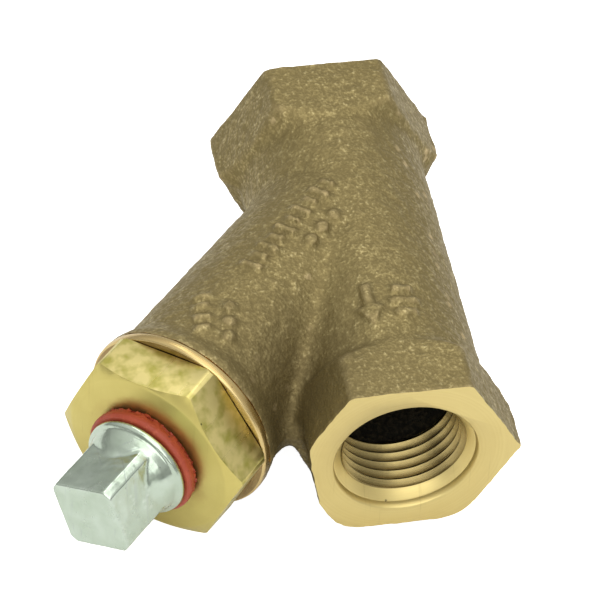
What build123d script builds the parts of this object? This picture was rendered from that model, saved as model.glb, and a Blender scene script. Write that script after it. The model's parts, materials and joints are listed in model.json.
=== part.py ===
from build123d import *
from math import cos, radians, sin, sqrt, tan
import os

# Half-inch threaded bronze Y strainer, lying on its side, in millimetres.
# X is the run axis in the direction of flow, Z is up and square to the plane of the Y.
# The origin is on the run axis at the mouth of the inlet thread.

# Run of the casting
run_length = 71.5
run_radius = 14.5
hex_across_flats = 30.7
hex_height = 29.4
hex_corner_length = 8.4
hex_blend_length = 2.8
sharp_corner_round = 1.0
crotch_corner_round = 13.0
lower_corner_round = 6.0

# Pipe ports, one at each end of the run
mouth_depth = 1.3
mouth_radius = 11.3
mouth_step_radius = 10.0
port_thread_radius = 9.16
port_thread_length = 13.0
port_thread_pitch = 1.814
passage_radius = 10.2
partition_wall = 5.0

# Branch of the casting, measured along its own axis from where it crosses the run axis
branch_angle = 43.0
branch_offset = 24.1
branch_radius = 14.35
shoulder_radius = 15.65
shoulder_width = 1.9
shoulder_flare = 2.6
shoulder_face = 47.3
crotch_blend = 2.5

# Strainer screen and its chamber
screen_radius = 8.3
screen_wall = 0.4
collar_wall = 0.3
collar_width = 3.0
seam_width = 3.2
seam_wall = 0.25
seat_face = 10.5
seat_depth = 1.5
seat_ledge = 1.5
chamber_radius = 10.6
screen_clearance = 0.3

# Retainer cap and its straight thread
cap_across_flats = 28.2
cap_hex_length = 7.7
cap_hex_turn = 38.1
cap_chamfer_angle = 30.0
cap_thread_radius = 11.11
cap_thread_pitch = 1.814
cap_shank_length = 10.0
cap_recess_depth = 3.0
chamber_thread_runout = 1.8

# Gasket under the cap
gasket_thickness = 1.0
gasket_radius = 13.8
gasket_clearance = 0.2

# Blow-off plug and the sealant on its thread
plug_thread_radius = 7.35
plug_thread_pitch = 1.411
plug_thread_length = 12.1
plug_collar_radius = 8.45
plug_collar_length = 1.1
plug_neck_length = 2.8
plug_neck_radius = 6.3
plug_square = 11.1
plug_square_turn = 21.7
plug_square_end = 15.4
plug_corner_cut = 0.7
plug_end_round = 0.5
sealant_width = 2.5
sealant_radius = 9.0
sealant_round = 0.5

# Threads are cut as rings: a V groove each pitch, with a flat land left between. The
# ports' grooves are shallow, so that their lands read as one wall.
groove_depth_share = 0.6
port_groove_depth_share = 0.21
groove_half_angle = 30.0
thread_clearance = 0.05

# Places that follow from the sizes above
inlet_face = -mouth_depth
outlet_face = inlet_face + run_length
crossing = inlet_face + branch_offset
branch_direction = Vector(cos(radians(branch_angle)), -sin(radians(branch_angle)), 0)
crossing_point = Vector(crossing, 0, 0)
branch_axis = Axis(crossing_point, branch_direction)
branch_section = Plane(origin=crossing_point, x_dir=branch_direction, z_dir=(0, 0, 1))
outlet_start = crossing + passage_radius + partition_wall
seat_floor = seat_face - seat_depth
seat_radius = screen_radius + collar_wall + screen_clearance
seat_bore_radius = seat_radius - seat_ledge
cap_back = shoulder_face + gasket_thickness
cap_front = cap_back + cap_hex_length
shank_end = cap_back - cap_shank_length
recess_floor = shank_end + cap_recess_depth
chamber_end = shank_end - chamber_thread_runout
cap_bore_radius = cap_thread_radius + thread_clearance
plug_bore_radius = plug_thread_radius + thread_clearance
port_groove_depth = port_thread_pitch * port_groove_depth_share
cap_groove_depth = cap_thread_pitch * groove_depth_share
plug_groove_depth = plug_thread_pitch * groove_depth_share
collar_back = cap_front + sealant_width
plug_tip = collar_back - plug_thread_length
collar_front = collar_back + plug_collar_length
square_end = cap_front + plug_square_end
screen_top = seat_floor + screen_clearance
screen_bottom = recess_floor

os.makedirs("parts", exist_ok=True)


def branch_plane(distance):
    """Plane square to the branch at a distance from the crossing, local X pointing up."""
    return Plane(
        origin=crossing_point + branch_direction * distance,
        x_dir=(0, 0, 1),
        z_dir=branch_direction,
    )


def groove_places(start, length, pitch):
    """Middles of the thread grooves that fit whole between start and start + length."""
    count = int(length / pitch)
    first = start + (length - (count - 1) * pitch) / 2
    return [first + turn * pitch for turn in range(count)]


def groove_profiles(start, length, pitch, land_radius, depth):
    """V profiles of a thread's grooves in an open sketch, local X along the axis."""
    half_width = abs(depth) * tan(radians(groove_half_angle))
    for place in groove_places(start, length, pitch):
        with Locations((place, land_radius)):
            Polygon((-half_width, 0), (half_width, 0), (0, depth), align=None)


def export_piece(builder, name):
    builder.part.label = name
    export_step(builder.part, f"parts/{name}.step")


# Wrench hexagons at the two ends of the run. Their top and bottom faces are closer
# together than the slanting ones, and each hexagon runs into the tube by a cone.
hex_corner_radius = hex_across_flats / sqrt(3)
hex_block_length = hex_corner_length + hex_blend_length

with BuildPart() as inlet_block:
    with BuildSketch(Plane.YZ.offset(inlet_face)) as inlet_hexagon:
        RegularPolygon(hex_corner_radius, 6)
        Rectangle(2 * hex_corner_radius, hex_height, mode=Mode.INTERSECT)
        fillet(inlet_hexagon.vertices(), sharp_corner_round)
    extrude(amount=hex_block_length)
    with BuildSketch(Plane.XY):
        with Locations((inlet_face, 0)):
            Polygon(
                (0, 0),
                (0, hex_corner_radius),
                (hex_corner_length, hex_corner_radius),
                (hex_block_length, run_radius),
                (hex_block_length, 0),
                align=None,
            )
    revolve(axis=Axis.X, mode=Mode.INTERSECT)

# The outlet hexagon is rounded where it faces the branch, so that a wrench clears it.
# In its sketch, local X is the row's Y and local Y is up.
with BuildPart() as outlet_block:
    with BuildSketch(Plane.YZ.offset(outlet_face)) as outlet_hexagon:
        RegularPolygon(hex_corner_radius, 6)
        Rectangle(2 * hex_corner_radius, hex_height, mode=Mode.INTERSECT)
        fillet(outlet_hexagon.vertices().sort_by(Axis.X)[0], crotch_corner_round)
        fillet(outlet_hexagon.vertices().sort_by(Axis.X)[-1], sharp_corner_round)
        fillet(outlet_hexagon.vertices().group_by(Axis.Y)[-1], sharp_corner_round)
        fillet(outlet_hexagon.vertices().group_by(Axis.Y)[0], lower_corner_round)
    extrude(amount=-hex_block_length)
    with BuildSketch(Plane.XY):
        with Locations((outlet_face, 0)):
            Polygon(
                (0, 0),
                (0, hex_corner_radius),
                (-hex_corner_length, hex_corner_radius),
                (-hex_block_length, run_radius),
                (-hex_block_length, 0),
                align=None,
            )
    revolve(axis=Axis.X, mode=Mode.INTERSECT)

# Cast body: two tubes blended in a Y, end hexagons, and a turned shoulder on the branch.
with BuildPart() as body:
    with BuildSketch(Plane.YZ.offset(inlet_face)):
        Circle(run_radius)
    extrude(amount=run_length)
    with BuildSketch(branch_plane(0)):
        Circle(branch_radius)
    extrude(amount=shoulder_face)
    blend_edges = body.edges().filter_by(
        lambda e: e.geom_type not in (GeomType.CIRCLE, GeomType.LINE)
    )
    fillet(blend_edges, crotch_blend)
    with BuildSketch(branch_section):
        Polygon(
            (shoulder_face - shoulder_width - shoulder_flare, 0),
            (shoulder_face - shoulder_width - shoulder_flare, branch_radius),
            (shoulder_face - shoulder_width, shoulder_radius),
            (shoulder_face, shoulder_radius),
            (shoulder_face, 0),
            align=None,
        )
    revolve(axis=branch_axis)
    add(inlet_block.part)
    add(outlet_block.part)

    # Inlet mouth, thread and bowl, closed by a dome around the crossing
    with BuildSketch(Plane.XY):
        with BuildLine():
            Polyline(
                (crossing, passage_radius),
                (port_thread_length, passage_radius),
                (port_thread_length, port_thread_radius),
                (0, port_thread_radius),
                (0, mouth_step_radius),
                (inlet_face, mouth_radius),
                (inlet_face, 0),
                (crossing + passage_radius, 0),
            )
            CenterArc((crossing, 0), passage_radius, 0, 90)
        make_face()
        groove_profiles(
            0,
            port_thread_length,
            port_thread_pitch,
            port_thread_radius,
            port_groove_depth,
        )
    revolve(axis=Axis.X, mode=Mode.SUBTRACT)

    # Outlet mouth, thread and passage, back to the partition
    outlet_mouth = outlet_face - mouth_depth
    with BuildSketch(Plane.XY):
        Polygon(
            (outlet_start, 0),
            (outlet_start, passage_radius),
            (outlet_mouth - port_thread_length, passage_radius),
            (outlet_mouth - port_thread_length, port_thread_radius),
            (outlet_mouth, port_thread_radius),
            (outlet_mouth, mouth_step_radius),
            (outlet_face, mouth_radius),
            (outlet_face, 0),
            align=None,
        )
        groove_profiles(
            outlet_mouth - port_thread_length,
            port_thread_length,
            port_thread_pitch,
            port_thread_radius,
            port_groove_depth,
        )
    revolve(axis=Axis.X, mode=Mode.SUBTRACT)

    # Screen seat, chamber and cap thread along the branch
    with BuildSketch(branch_section):
        Polygon(
            (0, 0),
            (0, seat_bore_radius),
            (seat_floor, seat_bore_radius),
            (seat_floor, seat_radius),
            (seat_face, seat_radius),
            (seat_face, chamber_radius),
            (chamber_end, chamber_radius),
            (chamber_end, cap_bore_radius),
            (shoulder_face, cap_bore_radius),
            (shoulder_face, 0),
            align=None,
        )
        groove_profiles(
            chamber_end,
            shoulder_face - chamber_end,
            cap_thread_pitch,
            cap_bore_radius,
            cap_groove_depth,
        )
    revolve(axis=branch_axis, mode=Mode.SUBTRACT)
export_piece(body, "body")

# Flat ring gasket between the shoulder and the cap
with BuildPart() as cap_gasket:
    with BuildSketch(branch_plane(shoulder_face)):
        Circle(gasket_radius)
        Circle(cap_thread_radius + gasket_clearance, mode=Mode.SUBTRACT)
    extrude(amount=gasket_thickness)
export_piece(cap_gasket, "cap_gasket")

# Retainer cap: chamfered hexagon, threaded shank, recess for the screen, plug thread
cap_corner_radius = cap_across_flats / sqrt(3)
cap_chamfer_length = (cap_corner_radius - cap_across_flats / 2) * tan(
    radians(cap_chamfer_angle)
)
with BuildPart() as retainer_cap:
    with BuildSketch(branch_plane(cap_back)):
        RegularPolygon(cap_corner_radius, 6, rotation=cap_hex_turn)
    extrude(amount=cap_hex_length)
    with BuildSketch(branch_section):
        Polygon(
            (cap_back, 0),
            (cap_back, cap_corner_radius),
            (cap_front - cap_chamfer_length, cap_corner_radius),
            (cap_front, cap_across_flats / 2),
            (cap_front, 0),
            align=None,
        )
    revolve(axis=branch_axis, mode=Mode.INTERSECT)
    with BuildSketch(branch_plane(shank_end)):
        Circle(cap_thread_radius)
    extrude(amount=cap_shank_length)
    with BuildSketch(branch_section):
        Polygon(
            (shank_end, 0),
            (shank_end, seat_radius),
            (recess_floor, seat_radius),
            (recess_floor, plug_bore_radius),
            (cap_front, plug_bore_radius),
            (cap_front, 0),
            align=None,
        )
        groove_profiles(
            recess_floor,
            cap_front - recess_floor,
            plug_thread_pitch,
            plug_bore_radius,
            plug_groove_depth,
        )
        groove_profiles(
            shank_end,
            shoulder_face - shank_end,
            cap_thread_pitch,
            cap_thread_radius,
            -cap_groove_depth,
        )
    revolve(axis=branch_axis, mode=Mode.SUBTRACT)
export_piece(retainer_cap, "retainer_cap")

# Blow-off plug: threaded shank, round collar, neck and square head
with BuildPart() as blow_off_plug:
    with BuildSketch(branch_plane(collar_front)):
        Rectangle(plug_square, plug_square, rotation=plug_square_turn)
    extrude(amount=square_end - collar_front)
    square_edges = blow_off_plug.edges().filter_by(branch_axis)
    chamfer(square_edges, plug_corner_cut)
    end_edges = blow_off_plug.faces().sort_by(branch_axis)[-1].edges()
    fillet(end_edges, plug_end_round)
    with BuildSketch(branch_section):
        Polygon(
            (plug_tip, 0),
            (plug_tip, plug_thread_radius),
            (collar_back, plug_thread_radius),
            (collar_back, plug_collar_radius),
            (collar_front, plug_collar_radius),
            (collar_front + plug_neck_length, plug_neck_radius),
            (collar_front + plug_neck_length, 0),
            align=None,
        )
    revolve(axis=branch_axis)
    with BuildSketch(branch_section):
        groove_profiles(
            plug_tip,
            cap_front - plug_tip,
            plug_thread_pitch,
            plug_thread_radius,
            -plug_groove_depth,
        )
    revolve(axis=branch_axis, mode=Mode.SUBTRACT)
export_piece(blow_off_plug, "blow_off_plug")

# Band of set thread sealant between the cap's face and the plug's collar
with BuildPart() as thread_sealant:
    with BuildSketch(branch_plane(cap_front)):
        Circle(sealant_radius)
        Circle(plug_bore_radius, mode=Mode.SUBTRACT)
    extrude(amount=sealant_width)
    outer_edge = thread_sealant.faces().sort_by(branch_axis)[-1].edges().sort_by(
        SortBy.RADIUS
    )[-1]
    fillet(outer_edge, sealant_round)
export_piece(thread_sealant, "thread_sealant")

# Screen: a rolled tube of mesh with a band round each end and a strip over its joint
with BuildPart() as screen_mesh:
    with BuildSketch(branch_plane(screen_top)):
        Circle(screen_radius)
        Circle(screen_radius - screen_wall, mode=Mode.SUBTRACT)
    extrude(amount=screen_bottom - screen_top)
export_piece(screen_mesh, "screen_mesh")


def collar(start):
    """Band round the outside of the screen, from start along the branch."""
    with BuildPart() as band:
        with BuildSketch(branch_plane(start)):
            Circle(screen_radius + collar_wall)
            Circle(screen_radius, mode=Mode.SUBTRACT)
        extrude(amount=collar_width)
    return band


export_piece(collar(screen_top), "screen_upper_collar")
export_piece(collar(screen_bottom - collar_width), "screen_lower_collar")

with BuildPart() as screen_seam:
    with BuildSketch(branch_plane(screen_top + collar_width)):
        Circle(screen_radius + seam_wall)
        Circle(screen_radius, mode=Mode.SUBTRACT)
        with Locations((-screen_radius, 0)):
            Rectangle(screen_radius, seam_width, mode=Mode.INTERSECT)
    extrude(amount=screen_bottom - screen_top - 2 * collar_width)
export_piece(screen_seam, "screen_seam")
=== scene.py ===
"""Y strainer: cast bronze body, brass retainer cap, zinc-plated plug and woven screen."""

import json
import math

import bpy
from mathutils import Matrix, Vector

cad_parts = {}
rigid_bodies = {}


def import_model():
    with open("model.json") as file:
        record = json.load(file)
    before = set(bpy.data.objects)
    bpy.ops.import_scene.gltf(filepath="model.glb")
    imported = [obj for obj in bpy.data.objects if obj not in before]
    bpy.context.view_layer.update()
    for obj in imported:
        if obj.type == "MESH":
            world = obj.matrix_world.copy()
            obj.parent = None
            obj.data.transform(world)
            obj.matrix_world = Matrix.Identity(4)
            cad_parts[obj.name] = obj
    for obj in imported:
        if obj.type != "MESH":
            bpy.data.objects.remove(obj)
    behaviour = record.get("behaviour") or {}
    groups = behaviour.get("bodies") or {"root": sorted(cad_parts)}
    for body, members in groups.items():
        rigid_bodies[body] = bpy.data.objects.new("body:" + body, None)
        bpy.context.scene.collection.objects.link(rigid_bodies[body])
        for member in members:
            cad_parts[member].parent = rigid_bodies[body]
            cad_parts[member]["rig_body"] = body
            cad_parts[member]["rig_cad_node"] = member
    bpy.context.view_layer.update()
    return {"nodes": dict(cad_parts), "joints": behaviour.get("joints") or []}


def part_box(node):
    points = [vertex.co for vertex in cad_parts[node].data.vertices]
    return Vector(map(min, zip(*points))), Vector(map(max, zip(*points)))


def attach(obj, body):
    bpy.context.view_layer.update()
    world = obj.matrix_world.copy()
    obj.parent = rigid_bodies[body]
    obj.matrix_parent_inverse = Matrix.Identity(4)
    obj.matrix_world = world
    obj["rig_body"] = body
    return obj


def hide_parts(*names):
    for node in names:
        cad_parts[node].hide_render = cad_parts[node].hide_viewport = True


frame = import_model()

MM = 0.001
joints = {joint["name"]: joint for joint in frame["joints"]}
branch_direction = Vector(joints["cap_turn"]["axis"]).normalized()
crossing = Vector(joints["cap_turn"]["pos_m"])
inlet_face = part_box("body")[0].x
outlet_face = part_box("body")[1].x

# Sizes in metres. Places along the branch are measured from where it crosses the run.
run_radius = 14.5 * MM
branch_radius = 14.35 * MM
mark_height = 0.75 * MM
shoulder_face = 47.3 * MM
shoulder_radius = 15.65 * MM
ring_back = 46.5 * MM
lip_front = 48.12 * MM
lip_inner_radius = 14.0 * MM
mouth_radius = 11.3 * MM
mouth_depth = 1.25 * MM
port_thread_start = 2.6 * MM
port_thread_end = 11.6 * MM
port_crest_radius = 9.16 * MM
port_root_radius = 10.15 * MM
port_pitch = 1.814 * MM
passage_radius = 10.2 * MM
outlet_start = 38.0 * MM
seat_bore_radius = 7.4 * MM
seat_floor = 9.0 * MM
seat_face = 10.5 * MM
seat_radius = 8.9 * MM
chamber_radius = 10.6 * MM
chamber_end = 36.5 * MM
cap_back = 48.3 * MM
cap_front = 56.0 * MM
cap_corner_radius = 28.2 * MM / math.sqrt(3)
cap_across_flats = 28.2 * MM
cap_hex_turn = math.radians(38.1)
cap_pitch = 1.814 * MM
cap_crest_radius = 11.11 * MM
cap_root_radius = 10.1 * MM
shank_end = 38.3 * MM
recess_floor = 41.3 * MM
recess_radius = 8.97 * MM
plug_pitch = 1.411 * MM
plug_crest_radius = 7.35 * MM
plug_root_radius = 6.5 * MM
plug_tip = 46.4 * MM
collar_back = 58.5 * MM
collar_front = 59.6 * MM
collar_radius = 8.45 * MM
plug_neck_radius = 6.3 * MM
plug_square = 11.1 * MM
plug_square_turn = math.radians(21.7)
square_end = 71.4 * MM
sealant_radius = 9.2 * MM
screen_radius = 8.3 * MM
screen_top = 9.3 * MM
thread_clearance = 0.06 * MM

# Mesh sizes for remeshing, and the height of the mould's parting line.
rough_voxel = 0.5 * MM
skin_voxel = 0.43 * MM
plug_voxel = 0.19 * MM
sealant_voxel = 0.13 * MM
parting_height = 0.32 * MM
parting_width = 0.7 * MM


# Making and shaping


def deselect():
    if bpy.context.object and bpy.context.object.mode != "OBJECT":
        bpy.ops.object.mode_set(mode="OBJECT")
    bpy.ops.object.select_all(action="DESELECT")


def focus(obj):
    """Makes obj the only selected and active object, in object mode."""
    deselect()
    obj.select_set(True)
    bpy.context.view_layer.objects.active = obj


def enter(mode):
    bpy.ops.object.mode_set(mode=mode)


def edit_all(obj):
    """Enters edit mode with the whole mesh selected."""
    focus(obj)
    enter("EDIT")
    bpy.ops.mesh.select_all(action="SELECT")


def pick(obj, kind, test):
    """Enters edit mode with only the faces, edges or points selected that pass test."""
    focus(obj)
    enter("EDIT")
    bpy.ops.mesh.select_mode(type=kind)
    bpy.ops.mesh.select_all(action="DESELECT")
    enter("OBJECT")
    parts = {"FACE": obj.data.polygons, "EDGE": obj.data.edges, "VERT": obj.data.vertices}
    for part in parts[kind]:
        part.select = test(part)
    enter("EDIT")


def apply_place(obj):
    focus(obj)
    bpy.ops.object.transform_apply(location=True, rotation=True, scale=True)


def primitive(operator, name, scale=(1, 1, 1), **settings):
    """Adds a primitive, scales it and bakes its place into its mesh."""
    deselect()
    operator(**settings)
    obj = bpy.context.object
    obj.name = name
    obj.scale = scale
    apply_place(obj)
    return obj


def put(obj, matrix):
    """Moves a shape made about its own Z axis to its place and bakes the place in."""
    obj.matrix_world = matrix @ obj.matrix_world
    apply_place(obj)
    return obj


def modify(obj, kind, **settings):
    """Adds a modifier with the given settings and applies it."""
    focus(obj)
    modifier = obj.modifiers.new(kind.lower(), kind)
    for key, value in settings.items():
        setattr(modifier, key, value)
    bpy.ops.object.modifier_apply(modifier=modifier.name)


def cloud_swell(obj, name, size, strength, middle=0.5, depth=2, group=""):
    """Displaces a piece by soft noise, with its size and strength in millimetres."""
    texture = bpy.data.textures.new(name, "CLOUDS")
    texture.noise_scale = size * MM
    texture.noise_depth = depth
    modify(
        obj,
        "DISPLACE",
        texture=texture,
        texture_coords="LOCAL",
        strength=strength * MM,
        mid_level=middle,
        vertex_group=group,
    )


def combine(obj, other, operation):
    """Unites obj with other, cuts other away from it, or keeps what they share."""
    modify(obj, "BOOLEAN", operation=operation, solver="MANIFOLD", object=other)
    bpy.data.objects.remove(other)
    return obj


def join(obj, *others):
    deselect()
    for other in others:
        other.select_set(True)
    obj.select_set(True)
    bpy.context.view_layer.objects.active = obj
    bpy.ops.object.join()
    return obj


def outward(obj, merge=1e-7):
    """Merges doubled points and turns every face outwards."""
    edit_all(obj)
    bpy.ops.mesh.remove_doubles(threshold=merge)
    bpy.ops.mesh.normals_make_consistent(inside=False)
    enter("OBJECT")


def turned(name, stations, segments=96):
    """A solid turned about Z, from (radius, height) stations going up."""
    radius, height = stations[0]
    obj = primitive(
        bpy.ops.mesh.primitive_circle_add,
        name,
        vertices=segments,
        radius=radius,
        fill_type="NGON",
        location=(0, 0, height),
    )
    edit_all(obj)
    for next_radius, next_height in stations[1:]:
        bpy.ops.mesh.extrude_region_move(
            TRANSFORM_OT_translate={"value": (0, 0, next_height - height)}
        )
        grow = next_radius / radius
        bpy.ops.transform.resize(
            value=(grow, grow, 1), center_override=(0, 0, next_height)
        )
        radius, height = next_radius, next_height
    bpy.ops.mesh.select_all(action="SELECT")
    bpy.ops.mesh.normals_make_consistent(inside=False)
    enter("OBJECT")
    return obj


def ridge(name, inner, outer, base, tip, pitch, start, turns, steps=64):
    """A right-hand helical ridge about Z, base wide at the inner radius, tip at the outer."""
    middle = Vector(((inner + outer) / 2, 0, start))
    obj = primitive(
        bpy.ops.mesh.primitive_plane_add,
        name,
        scale=(outer - inner, base, 1),
        size=1,
        location=middle,
        rotation=(math.pi / 2, 0, 0),
    )
    pick(obj, "VERT", lambda point: point.co.x > middle.x)
    bpy.ops.transform.resize(value=(1, 1, tip / base), center_override=middle)
    bpy.ops.mesh.select_all(action="SELECT")
    bpy.ops.mesh.delete(type="ONLY_FACE")
    modify(
        obj,
        "SCREW",
        axis="Z",
        angle=math.tau,
        screw_offset=pitch,
        iterations=turns,
        steps=steps,
        render_steps=steps,
        use_merge_vertices=False,
    )
    edit_all(obj)
    bpy.ops.mesh.fill_holes(sides=4)
    bpy.ops.mesh.normals_make_consistent(inside=False)
    modify(obj, "TRIANGULATE")
    return obj


def block(name, centre, size, turn=0.0):
    """A box, turned about its own X axis."""
    return primitive(
        bpy.ops.mesh.primitive_cube_add,
        name,
        scale=size,
        size=1,
        location=centre,
        rotation=(turn, 0, 0),
    )


def roll(obj, angle):
    """Turns a shape about Z."""
    put(obj, Matrix.Rotation(angle, 4, "Z"))


def soften(obj, angle):
    focus(obj)
    bpy.ops.object.shade_smooth_by_angle(angle=math.radians(angle))


def axis_frame(origin, along):
    """Placing matrix that turns Z to a direction in the plane of the Y, and X to up."""
    up = Vector((0, 0, 1))
    side = along.cross(up)
    turn = Matrix((up, side, along)).transposed().to_4x4()
    return Matrix.Translation(origin) @ turn


on_branch = axis_frame(crossing, branch_direction)
on_run = axis_frame(Vector((0, 0, 0)), Vector((1, 0, 0)))
on_run_back = axis_frame(Vector((outlet_face, 0, 0)), Vector((-1, 0, 0)))
on_run_front = axis_frame(Vector((inlet_face, 0, 0)), Vector((1, 0, 0)))


def branch_place(point):
    """Distance along the branch, and from its axis."""
    arm = point - crossing
    along = arm.dot(branch_direction)
    return along, (arm - branch_direction * along).length


def run_distance(point):
    return math.hypot(point.y, point.z)


# Cast body


def raised_marks():
    """Generic raised marks on the casting: a flow arrow, a row of ticks, bars and dots."""
    deep = 6 * MM

    def bar(along, across, length, width, turn=0.0):
        return block(
            "bar",
            (run_radius, across * MM, along * MM),
            (deep, width * MM, length * MM),
            turn,
        )

    def stud(along, across, radius, corners=24, rotation=(0, math.pi / 2, 0)):
        return primitive(
            bpy.ops.mesh.primitive_cylinder_add,
            "stud",
            vertices=corners,
            radius=radius * MM,
            depth=deep,
            location=(run_radius, across * MM, along * MM),
            rotation=rotation,
        )

    def trimmed(marks, radius, length, matrix):
        """Marks as one piece, cut to stand mark_height above a round skin."""
        marks = join(*marks)
        reach = radius + mark_height
        combine(marks, turned("tube", [(reach, 0), (reach, length)]), "INTERSECT")
        return put(marks, matrix)

    marks = []
    for place in range(10):
        marks.append(bar(4.6 + 2.4 * place, 1.6, 1.0, 3.4 if place % 2 else 2.2))
    for place in range(3):
        marks.append(stud(9.5 + 3.4 * place, -2.9, 1.0))
    for place in range(4):
        marks.append(bar(35.6 + 1.9 * place, 4.6 - 1.4 * place, 1.0, 2.4, 0.75))
    for place in range(3):
        marks.append(stud(35.4 + 2.4 * place, -0.6 - 1.5 * place, 0.95))
    branch_marks = trimmed(marks, branch_radius, 45 * MM, on_branch)

    arrow_head = stud(53.2, 2.9, 2.3, 3, (math.pi / 2, 0, math.pi / 2))
    marks = [bar(49.6, 2.9, 4.4, 1.2), arrow_head]
    for place in range(3):
        marks.append(bar(49.0 + 2.4 * place, -2.6, 1.1, 4.4 if place % 2 else 3.0))
    return join(branch_marks, trimmed(marks, run_radius, 60 * MM, on_run))


def cast_skin():
    """The casting's outside, closed over its ports, before anything is machined."""
    source = frame["nodes"]["body"]
    skin = source.copy()
    skin.data = source.data.copy()
    bpy.context.scene.collection.objects.link(skin)
    skin.parent = None
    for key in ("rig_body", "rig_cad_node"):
        if key in skin:
            del skin[key]
    skin.name = "strainer_body"
    skin.data.materials.clear()
    outward(skin, 1e-6)

    for sign, end in ((-1, inlet_face), (1, outlet_face)):
        pick(
            skin,
            "FACE",
            lambda face: face.normal.x * sign > 0.99 and abs(face.center.x - end) < 0.02 * MM,
        )
        bpy.ops.mesh.extrude_region_move(
            TRANSFORM_OT_translate={"value": (sign * MM, 0, 0)}
        )
        enter("OBJECT")

    stopper = [(mouth_radius + 0.6 * MM, -MM), (mouth_radius + 0.6 * MM, 6 * MM)]
    pieces = [
        put(turned("inlet_stopper", stopper), on_run_front),
        put(turned("outlet_stopper", stopper), on_run_back),
        put(
            turned(
                "branch_stopper",
                [(12.6 * MM, 38 * MM), (12.6 * MM, shoulder_face)],
            ),
            on_branch,
        ),
    ]
    for along, across, size in ((40.6, 14.0, 1.3), (42.6, 14.4, 1.0), (39.0, 14.2, 0.9)):
        place = crossing + branch_direction * along * MM
        place += Vector((-branch_direction.y, branch_direction.x, 0)) * across * MM
        lump = primitive(
            bpy.ops.mesh.primitive_uv_sphere_add,
            "casting_lump",
            scale=(1.0, 0.8, 0.55),
            segments=16,
            ring_count=8,
            radius=size * MM,
            location=place,
        )
        pieces.append(lump)
    join(skin, *pieces)
    modify(skin, "REMESH", mode="VOXEL", voxel_size=rough_voxel, adaptivity=0)
    combine(
        skin,
        block("crotch_trim", (0.0682, -0.01635, 0), (0.0094, 0.004, 0.022), 0.168),
        "DIFFERENCE",
    )

    fin = skin.copy()
    fin.data = skin.data.copy()
    bpy.context.scene.collection.objects.link(fin)
    modify(fin, "DISPLACE", strength=parting_height, mid_level=0)
    slab = block("parting_slab", (0.03, 0, 0), (0.3, 0.3, parting_width))
    combine(fin, slab, "INTERSECT")
    for addition, smoothing in ((fin, 5), (raised_marks(), 1)):
        join(skin, addition)
        modify(skin, "REMESH", mode="VOXEL", voxel_size=skin_voxel, adaptivity=0)
        modify(skin, "SMOOTH", factor=0.5, iterations=smoothing)

    for name, scale, strength in (
        ("slow_swell", 7.0, 0.30),
        ("sand_lumps", 2.3, 0.22),
        ("sand_grain", 1.1, 0.20),
    ):
        cloud_swell(skin, name, scale, strength, depth=1)
    return skin


def cut_ends(skin):
    """Faces the two ends and the branch flat, closing each cut."""
    cuts = (
        (Vector((inlet_face, 0, 0)), Vector((-1, 0, 0))),
        (Vector((outlet_face, 0, 0)), Vector((1, 0, 0))),
        (crossing + branch_direction * ring_back, branch_direction),
    )
    for place, direction in cuts:
        slab = turned("facing_cut", [(30 * MM, 0), (30 * MM, 8 * MM)], 48)
        put(slab, axis_frame(place, direction))
        combine(skin, slab, "DIFFERENCE")


def cut_port(skin, name, depth, matrix):
    """Cuts the mouth, thread and passage of a port, from its face inwards along Z."""
    mouth = turned(
        name,
        [
            (mouth_radius + 0.25 * MM, -2 * MM),
            (mouth_radius, 0),
            (mouth_radius - 0.25 * MM, 0.25 * MM),
            (mouth_radius - 0.42 * MM, mouth_depth - 0.05 * MM),
            (mouth_radius - 0.62 * MM, mouth_depth + 0.05 * MM),
            (port_crest_radius + 0.42 * MM, port_thread_start),
            (port_crest_radius, port_thread_start + 0.4 * MM),
            (port_crest_radius, port_thread_end),
            (passage_radius, port_thread_end + 0.3 * MM),
            (passage_radius, depth),
        ],
        128,
    )
    thread = ridge(
        name + "_groove",
        port_crest_radius - 0.3 * MM,
        port_root_radius,
        2.1 * MM,
        0.12 * MM,
        port_pitch,
        port_thread_start - 0.3 * MM,
        5,
    )
    for cutter in (mouth, thread):
        combine(skin, put(cutter, matrix), "DIFFERENCE")


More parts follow.
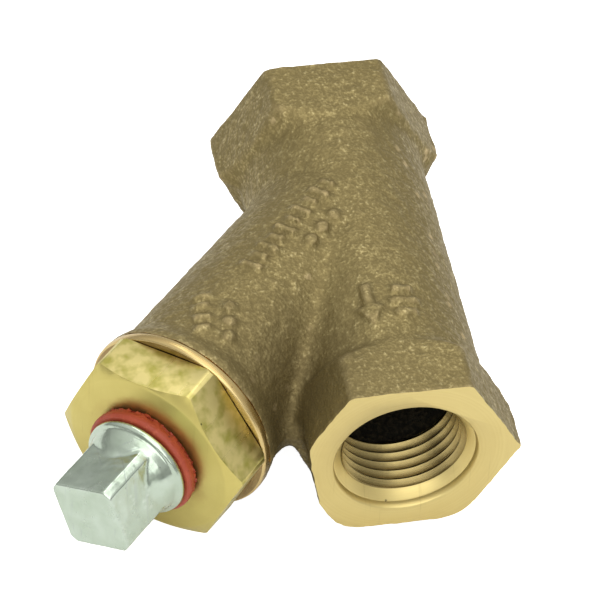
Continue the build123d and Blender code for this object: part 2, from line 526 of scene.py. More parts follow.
def strainer_body():
    skin = cast_skin()
    cut_ends(skin)
    ring = turned(
        "shoulder_ring",
        [
            (14.2 * MM, ring_back - 1.2 * MM),
            (14.9 * MM, ring_back - 0.6 * MM),
            (15.4 * MM, ring_back - 0.05 * MM),
            (15.55 * MM, ring_back + 0.12 * MM),
            (shoulder_radius, ring_back + 0.3 * MM),
            (shoulder_radius - 0.02 * MM, lip_front - 0.45 * MM),
            (shoulder_radius - 0.12 * MM, lip_front - 0.16 * MM),
            (shoulder_radius - 0.35 * MM, lip_front),
        ],
        160,
    )
    combine(skin, put(ring, on_branch), "UNION")

    inlet_depth = crossing.x - inlet_face
    cut_port(skin, "inlet_cut", inlet_depth, on_run_front)
    dome = [(passage_radius, inlet_depth - 2 * MM), (passage_radius, inlet_depth)]
    for step in range(1, 9):
        angle = math.radians(10.5 * step)
        dome.append(
            (passage_radius * math.cos(angle), inlet_depth + passage_radius * math.sin(angle))
        )
    combine(skin, put(turned("inlet_bowl", dome, 96), on_run_front), "DIFFERENCE")

    cut_port(skin, "outlet_cut", outlet_face - outlet_start, on_run_back)

    chamber = turned(
        "chamber_cut",
        [
            (seat_bore_radius, 0),
            (seat_bore_radius, seat_floor),
            (seat_radius, seat_floor),
            (seat_radius, seat_face),
            (chamber_radius, seat_face),
            (chamber_radius, chamber_end),
            (cap_crest_radius - 0.85 * MM, chamber_end),
            (cap_crest_radius - 0.85 * MM, shoulder_face - 0.9 * MM),
            (cap_crest_radius + thread_clearance, shoulder_face),
            (lip_inner_radius, shoulder_face),
            (lip_inner_radius, shoulder_face + 2 * MM),
        ],
        128,
    )
    combine(skin, put(chamber, on_branch), "DIFFERENCE")
    thread = ridge(
        "chamber_groove",
        cap_crest_radius - 1.15 * MM,
        cap_crest_radius + 0.12 * MM,
        1.95 * MM,
        0.3 * MM,
        cap_pitch,
        chamber_end - 1.2 * MM,
        8,
    )
    combine(skin, put(thread, on_branch), "DIFFERENCE")
    return skin


# Retainer cap, plug and sealant, made about Z and then put on the branch

cap_thread_start = shank_end + 1.0 * MM
plug_thread_start = plug_tip + 0.9 * MM


def retainer_cap():
    cap = primitive(
        bpy.ops.mesh.primitive_cylinder_add,
        "brass_retainer_cap",
        vertices=6,
        radius=cap_corner_radius,
        depth=cap_front - cap_back,
        location=(0, 0, (cap_front + cap_back) / 2),
    )
    roll(cap, cap_hex_turn + math.radians(30))
    chamfer = (cap_corner_radius - cap_across_flats / 2) * math.tan(math.radians(30))
    cone = turned(
        "cap_chamfer",
        [
            (cap_corner_radius - 0.45 * MM, cap_back - 0.01 * MM),
            (cap_corner_radius - 0.2 * MM, cap_back + 0.35 * MM),
            (cap_corner_radius - 0.2 * MM, cap_front - chamfer),
            (cap_across_flats / 2, cap_front - 0.12 * MM),
            (cap_across_flats / 2 - 0.5 * MM, cap_front + 0.01 * MM),
        ],
        180,
    )
    combine(cap, cone, "INTERSECT")
    modify(
        cap,
        "BEVEL",
        width=0.22 * MM,
        segments=3,
        limit_method="ANGLE",
        angle_limit=math.radians(24),
        use_clamp_overlap=True,
    )
    shank = turned(
        "cap_shank",
        [
            (cap_root_radius - 0.5 * MM, shank_end),
            (cap_root_radius, shank_end + 0.5 * MM),
            (cap_root_radius, cap_back - 0.3 * MM),
            (cap_root_radius + 0.3 * MM, cap_back + 0.5 * MM),
        ],
        128,
    )
    thread = ridge(
        "cap_thread",
        cap_root_radius - 0.25 * MM,
        cap_crest_radius,
        1.6 * MM,
        0.2 * MM,
        cap_pitch,
        cap_thread_start,
        4,
    )
    combine(shank, thread, "UNION")
    combine(cap, shank, "UNION")
    bore = turned(
        "cap_bore",
        [
            (recess_radius + 0.35 * MM, shank_end - MM),
            (recess_radius, shank_end + 0.4 * MM),
            (recess_radius, recess_floor + 0.04 * MM),
            (plug_root_radius + 0.12 * MM, recess_floor + 0.04 * MM),
            (plug_root_radius + 0.12 * MM, cap_front - 1.2 * MM),
            (plug_crest_radius + 0.3 * MM, cap_front),
            (plug_crest_radius + 0.3 * MM, cap_front + MM),
        ],
        128,
    )
    combine(cap, bore, "DIFFERENCE")
    groove = ridge(
        "cap_groove",
        plug_root_radius - 0.15 * MM,
        plug_crest_radius + 0.1 * MM,
        1.38 * MM,
        0.3 * MM,
        plug_pitch,
        plug_thread_start - 5 * plug_pitch,
        12,
    )
    combine(cap, groove, "DIFFERENCE")
    return put(cap, on_branch)


def blow_off_plug():
    head = block(
        "steel_blow_off_plug",
        (0, 0, (square_end + collar_front) / 2),
        (plug_square, plug_square, square_end - collar_front),
    )

    def upright(edge):
        first, second = (head.data.vertices[i].co for i in edge.vertices)
        return abs((first - second).z) > plug_square / 2

    pick(head, "EDGE", upright)
    bpy.ops.mesh.bevel(offset=1.0 * MM, segments=1)
    roll(head, plug_square_turn)
    forged = turned(
        "forged_collar",
        [
            (collar_radius - 0.25 * MM, collar_back),
            (collar_radius, collar_back + 0.25 * MM),
            (collar_radius, collar_front - 0.25 * MM),
            (collar_radius - 0.22 * MM, collar_front + 0.1 * MM),
            (collar_radius - 0.75 * MM, collar_front + 0.3 * MM),
            (collar_radius - 0.85 * MM, collar_front + 0.75 * MM),
            (collar_radius - 1.15 * MM, collar_front + 1.5 * MM),
            (collar_radius - 1.75 * MM, collar_front + 2.4 * MM),
            (plug_neck_radius - 0.45 * MM, collar_front + 3.3 * MM),
            (plug_square / 2 - 0.1 * MM, collar_front + 4.4 * MM),
        ],
        128,
    )
    join(head, forged)
    modify(head, "REMESH", mode="VOXEL", voxel_size=plug_voxel, adaptivity=0)
    modify(head, "SMOOTH", factor=0.5, iterations=5)
    cloud_swell(head, "forging_swell", 3.5, 0.16)
    shank = turned(
        "plug_shank",
        [
            (plug_root_radius - 0.7 * MM, plug_tip),
            (plug_root_radius, plug_tip + 0.6 * MM),
            (plug_root_radius, collar_back + 0.6 * MM),
        ],
        128,
    )
    thread = ridge(
        "plug_thread",
        plug_root_radius - 0.2 * MM,
        plug_crest_radius,
        1.22 * MM,
        0.15 * MM,
        plug_pitch,
        plug_thread_start,
        7,
    )
    combine(shank, thread, "UNION")
    combine(head, shank, "UNION")
    return put(head, on_branch)


def thread_sealant():
    middle = (cap_front + collar_back) / 2
    band = turned(
        "red_thread_sealant",
        [
            (sealant_radius - 0.35 * MM, cap_front + 0.02 * MM),
            (sealant_radius, cap_front + 0.35 * MM),
            (sealant_radius - 0.02 * MM, middle - 0.15 * MM),
            (sealant_radius - 0.34 * MM, middle - 0.02 * MM),
            (sealant_radius - 0.04 * MM, middle + 0.14 * MM),
            (sealant_radius - 0.08 * MM, collar_back - 0.45 * MM),
            (sealant_radius - 0.42 * MM, collar_back - 0.02 * MM),
        ],
        160,
    )
    bore_radius = plug_crest_radius + 0.08 * MM
    bore = turned(
        "sealant_bore",
        [(bore_radius, cap_front - MM), (bore_radius, collar_back + MM)],
        96,
    )
    combine(band, bore, "DIFFERENCE")
    modify(band, "REMESH", mode="VOXEL", voxel_size=sealant_voxel, adaptivity=0)
    modify(band, "SMOOTH", factor=0.5, iterations=2)
    torn = band.vertex_groups.new(name="torn_edge")
    for point in band.data.vertices:
        radius = math.hypot(point.co.x, point.co.y)
        if radius < plug_crest_radius + 0.6 * MM:
            continue
        away = (point.co.z - cap_front) / (middle - 0.2 * MM - cap_front)
        torn.add([point.index], max(0.07, min(1.0, 1.35 - away)), "REPLACE")
    cloud_swell(band, "torn_lumps", 1.4, 1.15, 0.78, group="torn_edge")
    cloud_swell(band, "torn_crumbs", 0.55, 0.6, 0.78, group="torn_edge")
    for point in band.data.vertices:
        point.co.z = max(cap_front + 0.01 * MM, point.co.z)
    return put(band, on_branch)


# Woven screen: wires along the tube and rings round it, over and under each other


def screen_wires():
    wire_radius = 0.2 * MM
    middle_radius = screen_radius - 2.05 * wire_radius
    sway_reach = 0.95 * wire_radius
    first_height = screen_top + 0.1 * MM
    round_count = 40
    length = recess_floor - screen_top - 0.2 * MM
    ring_count = int(length / (1.27 * MM))
    gap = length / ring_count

    def around(radius, angle, height):
        return radius * math.cos(angle), radius * math.sin(angle), height

    def tube(name, points, closed):
        curve = bpy.data.curves.new(name, "CURVE")
        curve.dimensions = "3D"
        curve.bevel_depth = wire_radius
        curve.bevel_resolution = 1
        spline = curve.splines.new("POLY")
        spline.points.add(len(points) - 1)
        for point, place in zip(spline.points, points):
            point.co = (*place, 1)
        spline.use_cyclic_u = closed
        curve.use_fill_caps = True
        obj = bpy.data.objects.new(name, curve)
        bpy.context.scene.collection.objects.link(obj)
        focus(obj)
        bpy.ops.object.convert(target="MESH")
        return bpy.context.object

    def long_wire(number):
        angle = math.tau * number / round_count
        points = []
        for step in range(4 * ring_count + 1):
            sway = sway_reach * math.cos(math.pi * (step / 4 - 0.5 + number))
            height = first_height + gap * step / 4
            points.append(around(middle_radius + sway, angle, height))
        return tube("long_wire", points, False)

    def ring_wire(number):
        points = []
        for step in range(4 * round_count):
            sway = sway_reach * math.cos(math.pi * (step / 4 + number))
            angle = math.tau * step / (4 * round_count)
            height = first_height + gap * (number + 0.5)
            points.append(around(middle_radius - sway, angle, height))
        return tube("ring_wire", points, True)

    long_pair = join(long_wire(0), long_wire(1))
    pair_count = round_count // 2
    edit_all(long_pair)
    bpy.ops.mesh.spin(
        dupli=True,
        steps=pair_count - 1,
        angle=math.tau * (pair_count - 1) / pair_count,
        center=(0, 0, 0),
        axis=(0, 0, 1),
    )
    rings = join(ring_wire(0), ring_wire(1))
    modify(
        rings,
        "ARRAY",
        count=ring_count // 2,
        use_relative_offset=False,
        use_constant_offset=True,
        constant_offset_displace=(0, 0, 2 * gap),
    )
    screen = join(long_pair, rings)
    screen.name = "woven_wire_screen"
    outward(screen)
    return put(screen, on_branch)


cap = retainer_cap()
plug = blow_off_plug()
sealant = thread_sealant()
screen = screen_wires()


# Finishes


def feed(tree, made, inputs):
    """Links each input that is given as a socket, and sets any other value."""
    for key, value in inputs.items():
        if isinstance(value, bpy.types.NodeSocket):
            tree.links.new(value, made.inputs[key])
        else:
            made.inputs[key].default_value = value
    return made


def node(tree, kind, inputs=None, **settings):
    """Adds a node with its settings and its inputs."""
    made = tree.nodes.new("ShaderNode" + kind)
    for key, value in settings.items():
        setattr(made, key, value)
    return feed(tree, made, inputs or {})


def maths(tree, operation, first, second=0.0):
    return node(tree, "Math", {0: first, 1: second}, operation=operation).outputs[0]


def vector_maths(tree, operation, inputs):
    return node(tree, "VectorMath", inputs, operation=operation).outputs


def stretched(tree, place, scale, turn=(0, 0, 0)):
    """Coordinates turned and scaled, for a pattern that runs one way."""
    inputs = {"Vector": place, "Rotation": turn, "Scale": scale}
    return node(tree, "Mapping", inputs).outputs[0]


def axis_distance(tree, place):
    """Distance of a place from the Z axis."""
    flat = vector_maths(tree, "MULTIPLY", {0: place, 1: (1, 1, 0)})[0]
    return vector_maths(tree, "LENGTH", {0: flat})["Value"]


def spread(tree, value, low, high, to_low=0.0, to_high=1.0):
    """Maps a value from one range to another and clamps it."""
    inputs = {
        "Value": value,
        "From Min": low,
        "From Max": high,
        "To Min": to_low,
        "To Max": to_high,
    }
    return node(tree, "MapRange", inputs, clamp=True).outputs["Result"]


def blend_colours(tree, mask, first, second):
    """Goes from the first colour to the second as the mask goes from 0 to 1."""
    colours = [(*c, 1) if isinstance(c, tuple) else c for c in (first, second)]
    inputs = {0: mask, 6: colours[0], 7: colours[1]}
    return node(tree, "Mix", inputs, data_type="RGBA").outputs[2]


def mottle(tree, value, low, high, first, second):
    """Goes from the first colour to the second as a value goes from low to high."""
    return blend_colours(tree, spread(tree, value, low, high), first, second)


def noise(tree, vector, scale, detail=2.0, roughness=0.5):
    inputs = {"Vector": vector, "Scale": scale, "Detail": detail, "Roughness": roughness}
    return node(tree, "TexNoise", inputs).outputs["Fac"]


def effect(name, inputs, outputs):
    """An empty shader node group with named inputs and outputs."""
    tree = bpy.data.node_groups.new(name, "ShaderNodeTree")
    for label, kind, value in inputs:
        kind = "NodeSocket" + kind
        socket = tree.interface.new_socket(label, in_out="INPUT", socket_type=kind)
        if value is not None:
            socket.default_value = value
    for label, kind in outputs:
        kind = "NodeSocket" + kind
        tree.interface.new_socket(label, in_out="OUTPUT", socket_type=kind)
    entry = tree.nodes.new("NodeGroupInput")
    leave = tree.nodes.new("NodeGroupOutput")
    return tree, entry.outputs, leave.inputs


def use(tree, group, inputs):
    return node(tree, "Group", inputs, node_tree=group).outputs


def sand_grain_effect():
    """The lumpy skin that moulding sand leaves: its height, its peaks and slow tone."""
    tree, given, gives = effect(
        "sand_grain",
        [("Vector", "Vector", None), ("Size", "Float", 1.0)],
        [("Height", "Float"), ("Peaks", "Float"), ("Tone", "Float")],
    )
    place = vector_maths(tree, "SCALE", {0: given["Vector"], "Scale": given["Size"]})[0]
    lumps = noise(tree, place, 950, 2.0, 0.5)
    grains = noise(tree, place, 2300, 1.5, 0.55)
    dust = noise(tree, place, 5600, 1.0)
    inputs = {"Vector": place, "Scale": 1700, "Smoothness": 0.7}
    cells = node(tree, "TexVoronoi", inputs, feature="SMOOTH_F1").outputs["Distance"]
    height = maths(tree, "MULTIPLY", lumps, 0.42)
    height = maths(tree, "ADD", height, maths(tree, "MULTIPLY", grains, 0.50))
    height = maths(tree, "ADD", height, maths(tree, "MULTIPLY", dust, 0.11))
    height = maths(tree, "SUBTRACT", height, maths(tree, "MULTIPLY", cells, 0.22))
    tree.links.new(height, gives["Height"])
    tree.links.new(spread(tree, height, 0.36, 0.56), gives["Peaks"])
    slow = noise(tree, place, 85, 3.0, 0.6)
    tree.links.new(spread(tree, slow, 0.35, 0.65), gives["Tone"])
    return tree


def worn_edge_effect():
    """Where sharp edges are rubbed bright, broken up so that the wear is uneven, and a mask of
    hollows used for painted shade.
    """
    tree, given, gives = effect(
        "worn_edges",
        [("Vector", "Vector", None), ("Width", "Float", 0.06), ("Patch Scale", "Float", 400.0)],
        [("Edge", "Float"), ("Hollow", "Float")],
    )
    shape = node(tree, "NewGeometry").outputs["Pointiness"]
    top = maths(tree, "ADD", 0.5, given["Width"])
    edge = spread(tree, shape, 0.505, top)
    patches = noise(tree, given["Vector"], given["Patch Scale"], 2.0)
    edge = maths(tree, "MULTIPLY", edge, spread(tree, patches, 0.3, 0.6))
    tree.links.new(edge, gives["Edge"])
    low = maths(tree, "SUBTRACT", 0.5, given["Width"])
    tree.links.new(spread(tree, shape, low, 0.495, 1.0, 0.0), gives["Hollow"])
    return tree


def tool_ring_effect():
    """Fine rings that a lathe tool leaves around the Z axis of the given vector."""
    tree, given, gives = effect(
        "tool_rings",
        [("Vector", "Vector", None), ("Pitch", "Float", 0.00016), ("Axial", "Float", 0.0)],
        [("Height", "Float"), ("Streaks", "Float")],
    )
    parts = node(tree, "SeparateXYZ", {0: given["Vector"]}).outputs
    across = maths(tree, "MULTIPLY", parts["Z"], given["Axial"])
    across = maths(tree, "ADD", across, axis_distance(tree, given["Vector"]))
    wander = noise(tree, given["Vector"], 130, 1.0)
    across = maths(tree, "ADD", across, maths(tree, "MULTIPLY", wander, 0.00012))
    turns = maths(tree, "DIVIDE", across, given["Pitch"])
    wave = maths(tree, "SINE", maths(tree, "MULTIPLY", turns, math.tau))
    tree.links.new(maths(tree, "MULTIPLY", wave, 0.5), gives["Height"])
    bands = node(tree, "CombineXYZ", {"X": maths(tree, "MULTIPLY", turns, 0.37)}).outputs[0]
    streaks = noise(tree, bands, 1.0, 3.0, 0.65)
    tree.links.new(streaks, gives["Streaks"])
    return tree


def scratch_effect():
    """Sparse fine scratches, all roughly one way."""
    tree, given, gives = effect(
        "fine_scratches",
        [("Vector", "Vector", None), ("Amount", "Float", 0.5)],
        [("Scratch", "Float")],
    )
    total = None
    for turn, stretch in ((0.5, (60, 2600, 60)), (1.9, (2200, 50, 120))):
        place = stretched(tree, given["Vector"], stretch, (turn, 0.4, turn))
        lines = noise(tree, place, 1.0, 1.0)
        lines = spread(tree, lines, 0.66, 0.74)
        gate = spread(tree, noise(tree, given["Vector"], 160 * turn, 1.0), 0.5, 0.62)
        lines = maths(tree, "MULTIPLY", lines, gate)
        total = lines if total is None else maths(tree, "MAXIMUM", total, lines)
    tree.links.new(maths(tree, "MULTIPLY", total, given["Amount"]), gives["Scratch"])
    return tree


def pit_effect():
    """Small dark pits, some larger than others, with most of the surface free of them."""
    tree, given, gives = effect(
        "small_pits",
        [("Vector", "Vector", None), ("Scale", "Float", 420.0), ("Size", "Float", 0.16)],
        [("Pit", "Float")],
    )
    inputs = {"Vector": given["Vector"], "Scale": given["Scale"]}
    cells = node(tree, "TexVoronoi", inputs).outputs
    chance = node(tree, "SeparateColor", {0: cells["Color"]}).outputs[0]
    size = maths(tree, "MULTIPLY", spread(tree, chance, 0.72, 1.0), given["Size"])
    rough = noise(tree, given["Vector"], 2500, 2.0)
    near = maths(tree, "ADD", cells["Distance"], maths(tree, "MULTIPLY", rough, 0.12))
    near = maths(tree, "SUBTRACT", near, 0.06)
    inside = maths(tree, "SUBTRACT", size, near)
    tree.links.new(spread(tree, inside, 0.0, 0.05), gives["Pit"])
    return tree


sand_grain = sand_grain_effect()
worn_edges = worn_edge_effect()
tool_rings = tool_ring_effect()
fine_scratches = scratch_effect()
small_pits = pit_effect()


def begin(name, metallic, roughness):
    """A new material, its node tree and the object coordinates."""
    material = bpy.data.materials.new(name)
    material.use_nodes = True
    tree = material.node_tree
    looks = {"Metallic": metallic, "Roughness": roughness}
    feed(tree, tree.nodes["Principled BSDF"], looks)
    return material, tree, node(tree, "TexCoord").outputs["Object"]


def finish(material, colour, height, distance, rough=None, strength=1.0):
    """Gives a material its colour, its bump and, where it varies, its roughness."""
    tree = material.node_tree
    inputs = {"Height": height, "Distance": distance, "Strength": strength}
    normal = node(tree, "Bump", inputs).outputs[0]
    looks = {"Base Color": colour, "Normal": normal}
    if rough is not None:
        looks["Roughness"] = rough
    feed(tree, tree.nodes["Principled BSDF"], looks)
    return material


def local_place(tree, place, matrix):
    """Object coordinates turned into a piece's own frame, its axis along Z."""
    inverse = matrix.inverted()
    inputs = {
        "Vector": place,
        "Location": inverse.translation,
        "Rotation": inverse.to_euler(),
    }
    return node(tree, "Mapping", inputs, vector_type="POINT").outputs[0]


# Where the outlet end and the branch meet: the centre of painted shade on the cast skin.
crotch_painted_shade_centre = (0.0595, -0.0155, 0.0)


def cast_bronze():
    material, tree, place = begin("cast_bronze_skin", 0.72, 0.5)
    grain = use(tree, sand_grain, {"Vector": place, "Size": 1.0})
    edges = use(tree, worn_edges, {"Vector": place, "Width": 0.11, "Patch Scale": 300.0})
    colour = blend_colours(tree, grain["Tone"], (0.29, 0.228, 0.090), (0.375, 0.298, 0.122))
    colour = blend_colours(tree, grain["Peaks"], (0.235, 0.182, 0.070), colour)
    # Painted highlight: the highest sand grains are lightened towards a highlight colour.
    high = spread(tree, grain["Height"], 0.50, 0.64)
    colour = blend_colours(tree, high, colour, (0.50, 0.41, 0.195))
    # Sharp edges lightened: partly worn edges, partly painted highlight on edges and raised
    # marks.
    rubbed = maths(tree, "MULTIPLY", edges["Edge"], 0.7)
    colour = blend_colours(tree, rubbed, colour, (0.62, 0.48, 0.25))
    # Painted shade: hollows found by pointiness are darkened.
    sunk = maths(tree, "MULTIPLY", edges["Hollow"], 0.6)
    colour = blend_colours(tree, sunk, colour, (0.07, 0.048, 0.022))
    # Painted shade: the skin is darkened near the crotch between the outlet end and the branch.
    away = vector_maths(tree, "SUBTRACT", {0: place, 1: crotch_painted_shade_centre})[0]
    away = vector_maths(tree, "MULTIPLY", {0: away, 1: (0.75, 1.0, 0.35)})[0]
    away = vector_maths(tree, "LENGTH", {0: away})["Value"]
    deep = spread(tree, away, 4.0 * MM, 13.5 * MM, 0.62, 0.0)
    colour = blend_colours(tree, deep, colour, (0.10, 0.072, 0.026))
    rough = spread(tree, grain["Height"], 0.34, 0.62, 0.62, 0.36)
    return finish(material, colour, grain["Height"], 0.26 * MM, rough, 0.8)


def turned_bronze():
    material, tree, place = begin("turned_bronze_face", 0.85, 0.42)
    middle = local_place(tree, place, on_run)
    rings = use(tree, tool_rings, {"Vector": middle, "Pitch": 0.19 * MM, "Axial": 0.0})
    marks = use(tree, fine_scratches, {"Vector": place, "Amount": 0.22})
    pits = use(tree, small_pits, {"Vector": place, "Scale": 260.0, "Size": 0.09})
    tarnish = noise(tree, place, 110, 3.0, 0.6)
    colour = mottle(tree, tarnish, 0.3, 0.7, (0.69, 0.555, 0.222), (0.73, 0.595, 0.246))
    streaks = maths(tree, "MULTIPLY", spread(tree, rings["Streaks"], 0.35, 0.7), 0.22)
    colour = blend_colours(tree, streaks, colour, (0.60, 0.455, 0.17))
    colour = blend_colours(tree, marks["Scratch"], colour, (0.44, 0.33, 0.12))
    colour = blend_colours(tree, pits["Pit"], colour, (0.10, 0.07, 0.03))
    rough = spread(tree, rings["Streaks"], 0.3, 0.75, 0.36, 0.5)
    height = maths(tree, "SUBTRACT", rings["Height"], marks["Scratch"])
    return finish(material, colour, height, 0.0035 * MM, rough)


def shoulder_bronze():
    material, tree, place = begin("turned_shoulder_ring", 0.95, 0.27)
    middle = local_place(tree, place, on_branch)
    rings = use(tree, tool_rings, {"Vector": middle, "Pitch": 0.23 * MM, "Axial": 1.0})
    pits = use(tree, small_pits, {"Vector": place, "Scale": 500.0, "Size": 0.13})
    colour = mottle(tree, rings["Streaks"], 0.35, 0.7, (0.60, 0.43, 0.17), (0.72, 0.56, 0.26))
    colour = blend_colours(tree, pits["Pit"], colour, (0.16, 0.10, 0.04))
    return finish(material, colour, rings["Height"], 0.006 * MM)


def cut_thread(name, matrix, crest, root, light, dark):
    """Bright cut thread whose roots are darker than its crests, as painted shade."""
    material, tree, place = begin(name, 1.0, 0.24)
    middle = local_place(tree, place, matrix)
    rings = use(tree, tool_rings, {"Vector": middle, "Pitch": 0.11 * MM, "Axial": 0.6})
    # Painted shade: the roots are darkened by radius, broken up by the noise named stain.
    painted_root_shade = spread(tree, axis_distance(tree, middle), crest, root)
    stain = noise(tree, place, 240, 3.0, 0.6)
    painted_root_shade = maths(tree, "MULTIPLY", painted_root_shade, spread(tree, stain, 0.2, 0.6, 0.5, 1.0))
    colour = blend_colours(tree, painted_root_shade, light, dark)
    rough = spread(tree, rings["Streaks"], 0.3, 0.7, 0.17, 0.36)
    return finish(material, colour, rings["Height"], 0.004 * MM, rough)


def rough_inside_painted_shade():
    # Inner faces are painted near black: painted shade in the bores and chamber.
    material, tree, place = begin("rough_inside_painted_shade", 0.35, 0.75)
    grain = use(tree, sand_grain, {"Vector": place, "Size": 0.8})
    colour = blend_colours(tree, grain["Peaks"], (0.016, 0.014, 0.008), (0.062, 0.05, 0.026))
    return finish(material, colour, grain["Height"], 0.4 * MM)


def faced_brass():
    material, tree, place = begin("faced_yellow_brass", 0.92, 0.33)
    middle = local_place(tree, place, on_branch)
    rings = use(tree, tool_rings, {"Vector": middle, "Pitch": 0.21 * MM, "Axial": 0.0})
    pits = use(tree, small_pits, {"Vector": place, "Scale": 230.0, "Size": 0.15})
    marks = use(tree, fine_scratches, {"Vector": place, "Amount": 0.2})
    tone = noise(tree, place, 120, 3.0, 0.6)
    colour = mottle(tree, tone, 0.3, 0.7, (0.57, 0.475, 0.14), (0.63, 0.535, 0.17))
    patch = maths(tree, "MULTIPLY", noise(tree, place, 210, 3.0, 0.65), -4.6 * MM)
    reach = maths(tree, "ADD", axis_distance(tree, middle), patch)
    stain = spread(tree, reach, 6.0 * MM, 8.6 * MM, 0.5, 0.0)
    stain = maths(tree, "MULTIPLY", stain, spread(tree, tone, 0.38, 0.6))
    colour = blend_colours(tree, stain, colour, (0.36, 0.19, 0.055))
    colour = blend_colours(tree, marks["Scratch"], colour, (0.45, 0.35, 0.10))
    colour = blend_colours(tree, pits["Pit"], colour, (0.055, 0.05, 0.015))
    rough = spread(tree, rings["Streaks"], 0.3, 0.75, 0.27, 0.42)
    height = maths(tree, "MULTIPLY", rings["Height"], 0.5)
    height = maths(tree, "SUBTRACT", height, pits["Pit"])
    return finish(material, colour, height, 0.012 * MM, rough)


def drawn_brass():
    material, tree, place = begin("drawn_brass_flats", 0.95, 0.32)
    middle = local_place(tree, place, on_branch)
    lines = stretched(tree, middle, (900, 900, 22))
    drawn = noise(tree, lines, 1.0, 3.0, 0.65)
    broad = stretched(tree, middle, (420, 420, 14))
    bands = noise(tree, broad, 1.0, 2.0)
    pits = use(tree, small_pits, {"Vector": place, "Scale": 330.0, "Size": 0.12})
    edges = use(tree, worn_edges, {"Vector": place, "Width": 0.05, "Patch Scale": 500.0})
    colour = mottle(tree, bands, 0.35, 0.65, (0.475, 0.425, 0.095), (0.495, 0.445, 0.105))
    streak = maths(tree, "MULTIPLY", spread(tree, drawn, 0.52, 0.72), 0.2)
    colour = blend_colours(tree, streak, colour, (0.25, 0.23, 0.05))
    colour = blend_colours(tree, edges["Edge"], colour, (0.78, 0.66, 0.26))
    colour = blend_colours(tree, pits["Pit"], colour, (0.07, 0.07, 0.015))
    rough = spread(tree, drawn, 0.3, 0.7, 0.26, 0.42)
    height = maths(tree, "SUBTRACT", drawn, pits["Pit"])
    return finish(material, colour, height, 0.005 * MM, rough)


def zinc_plate():
    material, tree, place = begin("bright_zinc_plate", 1.0, 0.2)
    marks = use(tree, fine_scratches, {"Vector": place, "Amount": 0.45})
    pits = use(tree, small_pits, {"Vector": place, "Scale": 520.0, "Size": 0.11})
    edges = use(tree, worn_edges, {"Vector": place, "Width": 0.08, "Patch Scale": 700.0})
    cloud = noise(tree, place, 260, 3.0, 0.6)
    colour = mottle(tree, cloud, 0.3, 0.7, (0.47, 0.555, 0.435), (0.57, 0.655, 0.545))
    rubbed = maths(tree, "MULTIPLY", edges["Edge"], 0.35)
    colour = blend_colours(tree, rubbed, colour, (0.72, 0.78, 0.70))
    colour = blend_colours(tree, marks["Scratch"], colour, (0.42, 0.47, 0.44))
    colour = blend_colours(tree, pits["Pit"], colour, (0.30, 0.33, 0.29))
    rough = spread(tree, noise(tree, place, 420, 3.0, 0.6), 0.3, 0.7, 0.13, 0.30)
    ripple = noise(tree, place, 520, 2.0, 0.5)
    height = maths(tree, "SUBTRACT", ripple, maths(tree, "MULTIPLY", marks["Scratch"], 0.2))
    return finish(material, colour, height, 0.035 * MM, rough)


def red_sealant():
    material, tree, place = begin("red_thread_sealant_finish", 0.0, 0.5)
    pits = use(tree, small_pits, {"Vector": place, "Scale": 900.0, "Size": 0.22})
    fine = noise(tree, place, 900, 4.0, 0.65)
    slow = noise(tree, place, 230, 2.0)
    colour = mottle(tree, slow, 0.3, 0.7, (0.31, 0.040, 0.014), (0.39, 0.058, 0.020))
    colour = mottle(tree, fine, 0.56, 0.75, colour, (0.48, 0.10, 0.042))
    colour = blend_colours(tree, pits["Pit"], colour, (0.17, 0.022, 0.012))
    rough = spread(tree, fine, 0.3, 0.7, 0.42, 0.62)
    height = maths(tree, "SUBTRACT", fine, pits["Pit"])
    return finish(material, colour, height, 0.05 * MM, rough)


def stainless(name, roughness, pitch):
    material, tree, place = begin(name, 1.0, roughness)
    middle = local_place(tree, place, on_branch)
    rings = use(tree, tool_rings, {"Vector": middle, "Pitch": pitch, "Axial": 1.0})
    marks = use(tree, fine_scratches, {"Vector": place, "Amount": 0.5})
    colour = mottle(tree, rings["Streaks"], 0.3, 0.7, (0.50, 0.50, 0.48), (0.66, 0.655, 0.63))
    colour = blend_colours(tree, marks["Scratch"], colour, (0.3, 0.3, 0.29))
    return finish(material, colour, rings["Height"], 0.003 * MM)


def white_gasket():
    material, tree, place = begin("white_gasket_finish", 0.0, 0.45)
    smear = noise(tree, place, 300, 3.0, 0.6)
    pits = use(tree, small_pits, {"Vector": place, "Scale": 700.0, "Size": 0.1})
    colour = mottle(tree, smear, 0.4, 0.75, (0.74, 0.72, 0.66), (0.58, 0.52, 0.40))
    colour = blend_colours(tree, pits["Pit"], colour, (0.3, 0.26, 0.2))
    # Painted shade: the outer rim of the gasket is painted near black, for the gap between
    # shoulder ring and cap.
    radius = axis_distance(tree, local_place(tree, place, on_branch))
    colour = mottle(tree, radius, 13.0 * MM, 13.6 * MM, colour, (0.055, 0.036, 0.014))
    return finish(material, colour, smear, 0.02 * MM)


def give_slots(obj, materials, choose=lambda centre, normal: 0):
    """Gives each face the material slot that choose returns for its centre and normal."""
    obj.data.materials.clear()
    for material in materials:
        obj.data.materials.append(material)
    for face in obj.data.polygons:
        face.material_index = choose(face.center, face.normal)


def body_slot(centre, normal):
    along, off = branch_place(centre)
    distance = run_distance(centre)
    ends = min(abs(centre.x - inlet_face), abs(centre.x - outlet_face))
    if ends < 0.03 * MM and abs(normal.x) > 0.9:
        return 1
    if distance < mouth_radius + 0.2 * MM and ends < port_thread_end + 0.5 * MM:
        return 1 if ends < port_thread_start else 2
    if along > ring_back - 0.05 * MM and off > cap_crest_radius + 0.2 * MM:
        return 3
    if along > chamber_end - 0.6 * MM and off < cap_crest_radius + 0.2 * MM:
        return 4
    if along > 0 and off < chamber_radius + 0.05 * MM:
        return 5
    if distance < passage_radius + 0.05 * MM:
        return 5
    return 0


def cap_slot(centre, normal):
    along, off = branch_place(centre)
    facing = normal.dot(branch_direction)
    if along > cap_front - 1.6 * MM and facing > 0.3:
        return 0
    if along > cap_back - 0.05 * MM and off > 11.5 * MM:
        return 1 if abs(facing) < 0.3 else 0
    return 2


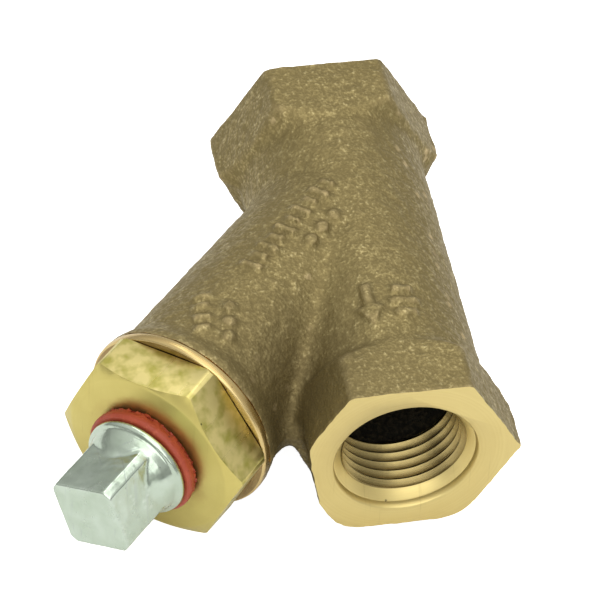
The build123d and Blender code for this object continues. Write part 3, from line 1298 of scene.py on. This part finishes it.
body = strainer_body()
give_slots(
    body,
    [
        cast_bronze(),
        turned_bronze(),
        cut_thread(
            "cut_port_thread",
            on_run,
            port_crest_radius,
            port_root_radius,
            (0.46, 0.36, 0.15),
            (0.23, 0.17, 0.06),
        ),
        shoulder_bronze(),
        cut_thread(
            "cut_chamber_thread",
            on_branch,
            cap_crest_radius - 0.85 * MM,
            cap_crest_radius,
            (0.66, 0.49, 0.22),
            (0.28, 0.19, 0.08),
        ),
        rough_inside_painted_shade(),
    ],
    body_slot,
)
soften(body, 50)
give_slots(
    cap,
    [
        faced_brass(),
        drawn_brass(),
        cut_thread(
            "cut_cap_thread",
            on_branch,
            cap_crest_radius,
            cap_root_radius,
            (0.72, 0.60, 0.20),
            (0.32, 0.25, 0.07),
        ),
    ],
    cap_slot,
)
soften(cap, 40)
give_slots(plug, [zinc_plate()])
soften(plug, 50)
give_slots(sealant, [red_sealant()])
soften(sealant, 60)
give_slots(screen, [stainless("stainless_wire", 0.3, 0.3 * MM)])
soften(screen, 60)
band_finish = stainless("stainless_band_finish", 0.26, 0.12 * MM)
for name, material in (
    ("cap_gasket", white_gasket()),
    ("screen_upper_collar", band_finish),
    ("screen_lower_collar", band_finish),
    ("screen_seam", band_finish),
):
    kept = frame["nodes"][name]
    kept.data.materials.clear()
    kept.data.materials.append(material)

for piece, body_name, node_name, slot_name in (
    (body, "casting", "body", "cast_bronze"),
    (cap, "cap", "retainer_cap", "yellow_brass"),
    (plug, "plug", "blow_off_plug", "zinc_plate"),
    (sealant, "sealant", "thread_sealant", "red_sealant"),
    (screen, "screen", "screen_mesh", "stainless_screen"),
):
    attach(piece, body_name)
    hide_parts(node_name)


# Floor, light and camera


def studio_floor():
    floor = primitive(
        bpy.ops.mesh.primitive_grid_add,
        "studio_floor",
        x_subdivisions=12,
        y_subdivisions=12,
        size=6,
        location=(0.035, -0.01, -shoulder_radius - 0.02 * MM),
    )
    material, tree, place = begin("pale_floor", 0.0, 0.85)
    tone = noise(tree, place, 3.0, 2.0)
    seen = node(tree, "LightPath").outputs["Is Camera Ray"]
    looks = {
        "Base Color": blend_colours(tree, tone, (0.93, 0.93, 0.93), (0.95, 0.95, 0.95)),
        "Specular IOR Level": 0.1,
        "Emission Color": (1, 1, 1, 1),
        "Emission Strength": maths(tree, "MULTIPLY", seen, 0.9),
    }
    feed(tree, tree.nodes["Principled BSDF"], looks)
    floor.data.materials.append(material)


def soft_light(name, place, size, power):
    """A rectangular light that faces the middle of the strainer."""
    deselect()
    bpy.ops.object.light_add(type="AREA", location=place)
    light = bpy.context.object
    light.name = name
    light.data.shape = "RECTANGLE"
    light.data.size, light.data.size_y = size
    light.data.energy = power
    aim = strainer_middle - Vector(place)
    light.rotation_euler = aim.to_track_quat("-Z", "Y").to_euler()


studio_floor()
strainer_middle = Vector((0.0345, -0.015, 0.0))
soft_light("overhead_softbox", (0.05, 0.15, 0.8), (0.9, 0.7), 1.9)
soft_light("front_softbox", (0.95, -0.25, 0.85), (1.3, 1.3), 6.4)
soft_light("small_key", (-0.42, 0.02, 0.62), (0.22, 0.22), 0.32)

world = bpy.data.worlds.new("studio_world")
bpy.context.scene.world = world
world.use_nodes = True
sky = world.node_tree
sky.nodes["Background"].inputs["Color"].default_value = (1, 1, 1, 1)
height = node(sky, "TexCoord").outputs["Generated"]
height = node(sky, "SeparateXYZ", {0: height}).outputs["Z"]
sky.links.new(
    spread(sky, height, 0.02, 0.75, 0.32, 0.85),
    sky.nodes["Background"].inputs["Strength"],
)

camera_data = bpy.data.cameras.new("camera")
camera_data.sensor_width = 36
camera_data.lens = 271.436
camera_data.clip_start = 0.05
camera_data.clip_end = 20
camera = bpy.data.objects.new("camera", camera_data)
bpy.context.scene.collection.objects.link(camera)
right = Vector((0.18171655, 0.98235966, 0.04414277))
upward = Vector((-0.71421667, 0.10099326, 0.6926001))
backward = right.cross(upward)
camera.matrix_world = (
    Matrix.Translation((0.508791, -0.120021, 0.504135))
    @ Matrix((right, upward, backward)).transposed().to_4x4()
)
bpy.context.scene.camera = camera
bpy.context.scene.view_settings.view_transform = "Standard"
